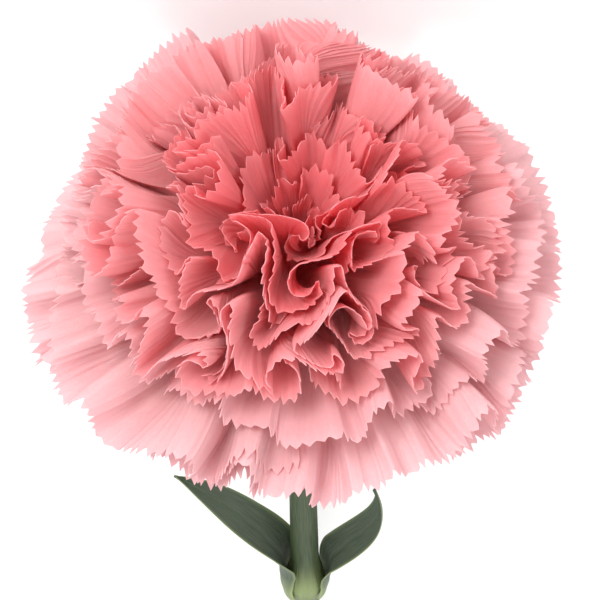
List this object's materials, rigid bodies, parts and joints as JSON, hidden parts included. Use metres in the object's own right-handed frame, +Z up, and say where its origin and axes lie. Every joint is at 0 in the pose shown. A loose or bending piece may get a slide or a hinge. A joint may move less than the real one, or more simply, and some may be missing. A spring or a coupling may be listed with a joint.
{
  "type": "cut carnation",
  "caption": "Double ruffled pink flower on a short cut green stem with a pair of narrow leaves, lying on its side for a floral display.",
  "frame": {"origin": "centre of the bounding box in X and Y, at the surface the flower lies on", "axes": "+Z up from the surface, the stem's cut end towards +Y, the bloom's face towards -Y and a little up"},
  "size_m": [0.0822, 0.1768, 0.0799],
  "materials": {
    "petal_heart": "matte",
    "petal_middle": "matte",
    "petal_outer": "matte",
    "calyx_green": "satin",
    "bract_green": "satin",
    "stem_green": "satin",
    "leaf_green": "satin",
    "pistil_white": "satin"
  },
  "bodies": {
    "root": {"ring_01_petal_1": "petal_heart", "ring_01_petal_2": "petal_heart", "ring_01_petal_3": "petal_heart", "ring_01_petal_4": "petal_heart", "ring_01_petal_5": "petal_heart", "ring_02_petal_1": "petal_heart", "ring_02_petal_2": "petal_heart", "ring_02_petal_3": "petal_heart", "ring_02_petal_4": "petal_heart", "ring_02_petal_5": "petal_heart", "ring_03_petal_1": "petal_heart", "ring_03_petal_2": "petal_heart", "ring_03_petal_3": "petal_heart", "ring_03_petal_4": "petal_heart", "ring_03_petal_5": "petal_heart", "ring_04_petal_1": "petal_heart", "ring_04_petal_2": "petal_heart", "ring_04_petal_3": "petal_heart", "ring_04_petal_4": "petal_heart", "ring_04_petal_5": "petal_heart", "ring_05_petal_1": "petal_middle", "ring_05_petal_2": "petal_middle", "ring_05_petal_3": "petal_middle", "ring_05_petal_4": "petal_middle", "ring_05_petal_5": "petal_middle", "ring_06_petal_1": "petal_middle", "ring_06_petal_2": "petal_middle", "ring_06_petal_3": "petal_middle", "ring_06_petal_4": "petal_middle", "ring_06_petal_5": "petal_middle", "ring_07_petal_1": "petal_middle", "ring_07_petal_2": "petal_middle", "ring_07_petal_3": "petal_middle", "ring_07_petal_4": "petal_middle", "ring_07_petal_5": "petal_middle", "ring_08_petal_1": "petal_middle", "ring_08_petal_2": "petal_middle", "ring_08_petal_3": "petal_middle", "ring_08_petal_4": "petal_middle", "ring_08_petal_5": "petal_middle", "ring_09_petal_1": "petal_outer", "ring_09_petal_2": "petal_outer", "ring_09_petal_3": "petal_outer", "ring_09_petal_4": "petal_outer", "ring_09_petal_5": "petal_outer", "ring_10_petal_1": "petal_outer", "ring_10_petal_2": "petal_outer", "ring_10_petal_3": "petal_outer", "ring_10_petal_4": "petal_outer", "ring_10_petal_5": "petal_outer", "calyx": "calyx_green", "calyx_bract_1": "bract_green", "calyx_bract_2": "bract_green", "calyx_bract_3": "bract_green", "calyx_bract_4": "bract_green", "pistil": "pistil_white", "stem": "stem_green", "left_leaf": "leaf_green", "right_leaf": "leaf_green"}
  },
  "joints": []
}
